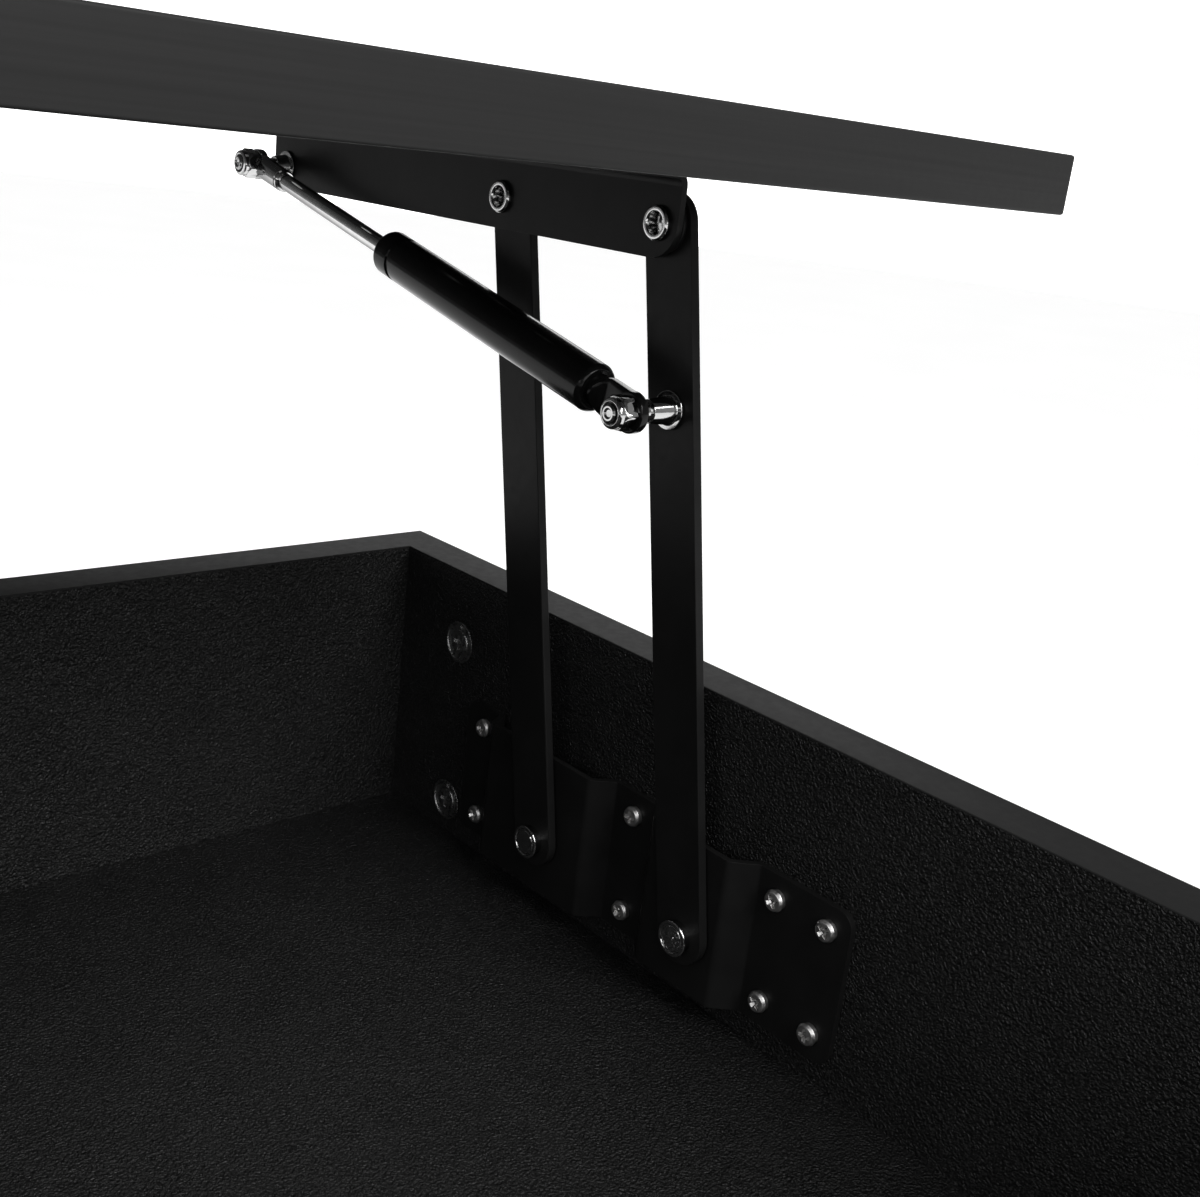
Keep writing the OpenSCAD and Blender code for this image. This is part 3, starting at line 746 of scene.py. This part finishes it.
def on_both_ends(kind, make):
    """The left piece made by make(), and its mirror image at the right end.
    kind is the CAD node's name without its side."""
    for side in SIDES:
        node = side + "_" + kind
        bm = make()
        if side == "right":
            moved(bm, FLIP)
        piece(node + "_detail", bm, body_of_node(node), slot_of[node], node)


def add_rivets():
    def base():
        parts = []
        for rough, box in zip((False, True), islands("left_base_rivets")):
            at = middle(box)
            at.x = box[0].x
            length = (box[1].x - box[0].x) / MM
            parts.append(moved(shoulder_rivet(length, rough), facing(ALONG_X, at)))
        return joined(*parts)

    def top():
        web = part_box("left_top_bracket")[0].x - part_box("left_top_rivets")[0].x
        steel = web / MM + STRIP_STEEL
        parts = []
        for box in islands("left_top_rivets"):
            at = middle(box)
            at.x = box[0].x
            length = (box[1].x - box[0].x) / MM
            parts.append(moved(hollow_rivet(length, steel), facing(ALONG_X, at)))
        return joined(*parts)

    on_both_ends("base_rivets", base)
    on_both_ends("top_rivets", top)


def add_washers():
    for kind in ("base_washers", "top_washers"):
        def make():
            parts = []
            for low, high in islands("left_" + kind):
                at = (low + high) / 2
                at.x = low.x
                outer = (high.y - low.y) / 2 / MM
                ring = washer(outer, WASHER_HOLE_R[kind], (high.x - low.x) / MM)
                parts.append(moved(ring, facing(ALONG_X, at)))
            return joined(*parts)
        on_both_ends(kind, make)


def screws_at(node, way, master, head_h):
    """Screws of a CAD node, with their heads facing a way and their recesses turned at random."""
    parts = []
    for box in islands(node):
        at = middle(box)
        axis = max(range(3), key=lambda i: abs(way[i]))
        end = box[1][axis] if way[axis] > 0 else box[0][axis]
        at[axis] = end - way[axis] * head_h * MM
        parts.append(moved(master.copy(), facing(way, at, chance.uniform(0, math.pi / 2))))
    return joined(*parts)


def add_screws():
    steel_screw = pan_screw(15)
    flange_screw = flat_screw(12)
    divider_screw = pan_screw(50, 9.5, DIVIDER_HEAD_H, 5)
    down = Vector((0, 0, -1))
    on_both_ends("base_screws", lambda: screws_at("left_base_screws", ALONG_X, steel_screw,
                                                  SCREW_HEAD_H))
    on_both_ends("top_screws", lambda: screws_at("left_top_screws", down, flange_screw,
                                                 FLAT_CROWN))
    for node, master, head_h in (("leg_screws", steel_screw, SCREW_HEAD_H),
                                 ("divider_screws", divider_screw, DIVIDER_HEAD_H)):
        piece(node + "_detail", screws_at(node, down, master, head_h), body_of_node(node),
              slot_of[node], node)
    for bm in (steel_screw, flange_screw, divider_screw):
        bm.free()


def add_studs_and_nuts():
    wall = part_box("left_end_panel")[1].x
    for kind, flange, tail in (("upper", 1.0, True), ("lower", 0.9, False)):
        low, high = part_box("left_" + kind + "_stud")
        at = (low + high) / 2
        at.x = wall
        seat = (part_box("left_end_lug")[0].x - wall) / MM
        pin_end = (high.x - wall) / MM
        start = (low.x - wall) / MM
        face = start
        back = [(0, start)]
        if tail:
            web = (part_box("left_top_bracket")[0].x - wall) / MM
            face = web + STRIP_STEEL
            back = [(0, start), (4, start, 0.2), (4, web), (2.5, web), (2.5, face)]

        def make_stud():
            return moved(stud(face, flange, pin_end, seat, back), facing(ALONG_X, at))

        on_both_ends(kind + "_stud", make_stud)
        nut_at = Vector((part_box("left_" + kind + "_nut")[0].x, at.y, at.z))
        turn = math.radians(30 if kind == "lower" else 12)
        on_both_ends(kind + "_nut", lambda: moved(lock_nut(), facing(ALONG_X, nut_at, turn)))
        for side in SIDES:
            ring = moved(insert_ring(), facing(ALONG_X, nut_at))
            if side == "right":
                moved(ring, FLIP)
            piece(side + "_" + kind + "_nut_insert", ring, body_of_node(side + "_" + kind + "_nut"),
                  "black_plastic")


def spring_frame():
    """Matrix of the left gas spring: millimetres from the lower stud, Z to the upper stud."""
    low = middle(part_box("left_lower_stud"))
    high = middle(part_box("left_upper_stud"))
    low.x = high.x = middle(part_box("left_end_lug")).x
    axis = (high - low).normalized()
    turn = Matrix((ALONG_X, axis.cross(ALONG_X), axis)).transposed().to_4x4()
    return Matrix.Translation(low) @ turn @ Matrix.Scale(MM, 4), (high - low).length / MM


def span_along(node, place):
    """Lowest and highest distance of a node's points along a matrix's Z."""
    back = place.inverted()
    heights = [(back @ v.co).z for v in nodes[node].data.vertices]
    return min(heights), max(heights)


def add_gas_springs():
    place, length = spring_frame()
    low, high = span_along("left_spring_tube", place)
    tube_r = (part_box("left_spring_tube")[1].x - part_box("left_spring_tube")[0].x) / 2 / MM
    rod_r = (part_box("left_spring_rod")[1].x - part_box("left_spring_rod")[0].x) / 2 / MM
    rod_low, rod_high = span_along("left_spring_rod", place)
    ferrule = length - span_along("left_rod_eye", place)[0]
    eye_place = place @ Matrix.Translation((0, 0, length))
    on_both_ends("spring_tube", lambda: moved(tube_shell(tube_r, low, high, rod_r), place))
    on_both_ends("spring_rod", lambda: moved(
        lathe(soften([(0, rod_low), (rod_r, rod_low, 0.3), (rod_r, rod_high, 0.2), (0, rod_high)]),
              64), place))
    on_both_ends("rod_eye", lambda: moved(rod_eye_mesh(ferrule, rod_r), eye_place))
    on_both_ends("end_lug", lambda: moved(end_lug_mesh(low, tube_r - TUBE_WALL), place))


def add_cams():
    master = cam_disc(CAM_DEPTH)
    parts = []
    for box in islands("cam_locks"):
        size = box[1] - box[0]
        at = middle(box)
        if size.x < size.z:
            way = Vector((-math.copysign(1, at.x), 0, 0))
            at.x = box[0].x if way.x < 0 else box[1].x
            bolt = Vector((0, math.copysign(1, at.y), 0))
        else:
            way = Vector((0, 0, -1))
            at.z = box[0].z
            bolt = Vector((math.copysign(1, at.x), 0, 0))
        turn = Matrix((bolt.cross(way), bolt, way)).transposed().to_4x4()
        parts.append(moved(master.copy(), Matrix.Translation(at) @ turn @ Matrix.Scale(MM, 4)))
    master.free()
    piece("cam_locks_detail", joined(*parts), body_of_node("cam_locks"), "cam_zinc", "cam_locks")


def frame_sweep(node, half_x, half_y, outline):
    """Rectangular frame swept from a closed outline of (distance outward, height)."""
    low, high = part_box(node)
    centre = (low + high) / 2
    bm = bmesh.new()
    rings = []
    for out, rise in outline:
        x, y = half_x + out, half_y + out
        rings.append([bm.verts.new((centre.x + i * x, centre.y + j * y, low.z + rise))
                      for i, j in ((-1, -1), (1, -1), (1, 1), (-1, 1))])
    for first, second in zip(rings, rings[1:] + rings[:1]):
        bridge(bm, first, second)
    return tidy_mesh(bm)


def add_edge_strips():
    """Edge strips with softly rounded corners, on the case rim and round the top."""
    inner_x, inner_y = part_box("right_end_panel")[0].x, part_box("rear_apron")[0].y
    low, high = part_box("case_edging")
    wide, thick, r = high.x - inner_x, high.z - low.z, 0.42 * MM
    rim = soften([(0, 0), (0, thick, r), (wide, thick, r), (wide, 0), (0, 0)], 4)[:-1]
    piece("case_edging_detail", frame_sweep("case_edging", inner_x, inner_y, rim),
          body_of_node("case_edging"), "case_edge_strip", "case_edging")

    low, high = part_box("top_edging")
    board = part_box("table_top")
    inner_x, inner_y = (board[1].x - board[0].x) / 2, (board[1].y - board[0].y) / 2
    wide, thick, r = high.x - board[1].x, high.z - low.z, 0.7 * MM
    band = soften([(0, 0), (0, thick), (wide, thick, r), (wide, 0, r), (0, 0)], 5)[:-1]
    piece("top_edging_detail", frame_sweep("top_edging", inner_x, inner_y, band),
          body_of_node("top_edging"), "top_edge_strip", "top_edging")


def add_feet():
    glides = []
    for box in islands("foot_glides"):
        at = middle(box)
        at.z = box[0].z
        glide = lathe(soften([(0, 0), (6.2, 0, 0.6), (7.5, 1.4, 0.5), (7.5, 8, 0.4), (1.5, 8),
                              (1.5, 18.5), (0, 19.9)], 4), 48)
        glides.append(moved(glide, facing(UP, at)))
    piece("foot_glides_detail", joined(*glides), body_of_node("foot_glides"), "black_plastic",
          "foot_glides")

    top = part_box("centre_leg")[1].z / MM
    outline = [(0, 0), (16.5, 0, 0.8), (18, 1.4, 0.6), (18, 10.5, 0.8), (15.5, 11, 0.4),
               (12.5, 11.6), (12.5, 14), (14, 14.4, 0.3), (14, top - 4, 1.2),
               (27, top - 4, 0.6), (27, top, 0.3), (0, top)]
    leg = lathe(soften(outline, 4), 72)
    ribs = []
    for k in range(6):
        rib = prism([(13, -22), (25.5, -4.2), (25.5, -3.5), (13, -3.5)], -0.9, 0.9)
        upright = Matrix.Rotation(math.pi / 2, 4, "X")
        turn = Matrix.Rotation(math.radians(60 * k), 4, "Z")
        ribs.append(moved(rib, turn @ Matrix.Translation((0, 0, top)) @ upright))
    for rib in ribs:
        leg = combined(leg, rib, "UNION")
    for box in islands("leg_screws"):
        at = middle(box) / MM
        hole = moved(round_bar(1.8, top - 10, top + 5), Matrix.Translation((at.x, at.y, 0)))
        leg = combined(leg, hole)
    piece("centre_leg_detail", moved(leg, Matrix.Scale(MM, 4)), body_of_node("centre_leg"),
          "black_plastic", "centre_leg")


def round_edges(name, width):
    """Breaks the sharp edges of a CAD node with a bevel of a width in millimetres."""
    cad = nodes[name]
    weld = cad.modifiers.new("weld", "WELD")
    weld.merge_threshold = 1e-6
    flat = cad.modifiers.new("flat_faces", "DECIMATE")
    flat.decimate_type = "DISSOLVE"
    flat.angle_limit = math.radians(0.5)
    bevel = cad.modifiers.new("edges", "BEVEL")
    bevel.width = width * MM
    bevel.segments = 2
    bevel.limit_method = "ANGLE"
    bevel.angle_limit = math.radians(40)
    cad.modifiers.new("shading", "WEIGHTED_NORMAL").keep_sharp = True


def finish_cad_nodes():
    """Finish of each CAD node by its slot, and broken edges on boards and steel."""
    for name, cad in nodes.items():
        cad.material_slots[0].material = finishes[slot_of[name]]
        if slot_of[name] == "powder_steel" and "washers" not in name:
            round_edges(name, 0.4)
        if slot_of[name] == "melamine_board":
            round_edges(name, 0.25)


# ---- build ----

chance = random.Random(7)
slot_of = {name: cad.data.materials[0].name for name, cad in nodes.items()}
finishes = all_finishes()
add_camera()
add_stage()
add_sun("key", (-0.1, 0.8, 0.75), 2.7, 40)
add_softbox("rear_softbox", (0.3, 1.7, 1.1), MECHANISM, (1.6, 0.9), 8)
add_softbox("far_softbox", (-1.5, -1.4, 1.25), (-0.4, -0.05, 0.3), (1.4, 0.9), 8)
add_softbox("side_softbox", (1.6, 0.3, 1.3), (-0.42, -0.1, 0.35), (1.2, 1.2), 12)
scene.view_settings.view_transform = "Standard"

finish_cad_nodes()
add_edge_strips()
add_feet()
add_cams()
add_screws()
add_rivets()
add_washers()
add_studs_and_nuts()
add_gas_springs()
